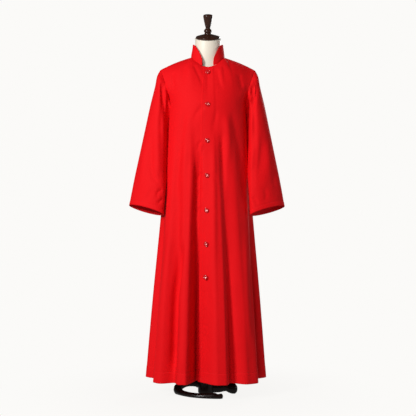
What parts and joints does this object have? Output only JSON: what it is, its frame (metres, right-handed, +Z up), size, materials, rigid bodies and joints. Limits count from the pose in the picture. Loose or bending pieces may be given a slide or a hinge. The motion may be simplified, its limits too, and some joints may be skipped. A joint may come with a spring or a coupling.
{
  "type": "cassock on dress form",
  "caption": "Red floor-length cassock with a cut-away standing collar, bell sleeves and a buttoned front, worn by a limbless dress form on a dark carved stand",
  "frame": {"origin": "On the floor, at the middle of the flat underside of the stand's hub, below the middle of the pole", "axes": "+Z up along the pole; the garment faces -Y; the garment's left side is at +X"},
  "size_m": [0.6644, 0.404, 1.6232],
  "materials": {
    "cloth": "fine plain-weave red polyester and wool cloth, soft sheen",
    "button": "moulded red polyester resin, polished",
    "form": "ivory matt lacquer over a moulded shell",
    "cap_wood": "turned hardwood, dark walnut stain, gloss lacquer",
    "stand_wood": "carved hardwood, near-black stain, gloss lacquer"
  },
  "bodies": {
    "root": {"front_left": "cloth", "front_right": "cloth", "back": "cloth", "sleeve_left": "cloth", "sleeve_right": "cloth", "collar": "cloth", "button_1": "button", "button_2": "button", "button_3": "button", "button_4": "button", "button_5": "button", "button_6": "button", "button_7": "button", "form_torso": "form", "neck_cap": "cap_wood", "finial": "cap_wood", "stand_pole": "stand_wood", "stand_hub": "stand_wood", "leg_scroll": "stand_wood", "leg_right": "stand_wood", "leg_back": "stand_wood"}
  },
  "joints": []
}
